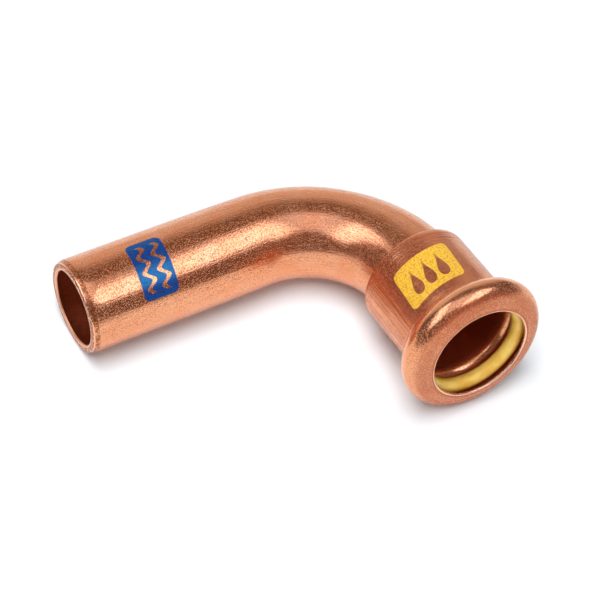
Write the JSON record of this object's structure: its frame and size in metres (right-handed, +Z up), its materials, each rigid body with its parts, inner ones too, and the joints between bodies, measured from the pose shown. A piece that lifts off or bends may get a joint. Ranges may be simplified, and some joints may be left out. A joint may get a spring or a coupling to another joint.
{
  "type": "press fit pipe elbow",
  "caption": "Right-angle copper press elbow: a plain tube end on one leg and a short beaded press socket with a yellow seal ring on the other.",
  "frame": {"origin": "middle of the footprint, on the surface that the elbow lies on", "axes": "+X along the plain leg from its open end towards the bend, -Y the way the socket opens, +Z up as the elbow lies on its side"},
  "size_m": [0.0614, 0.0458, 0.0234],
  "materials": {
    "copper": null,
    "seal": "smooth mustard yellow rubber"
  },
  "bodies": {
    "root": {"copper_body": "copper", "seal_ring": "seal"}
  },
  "joints": []
}
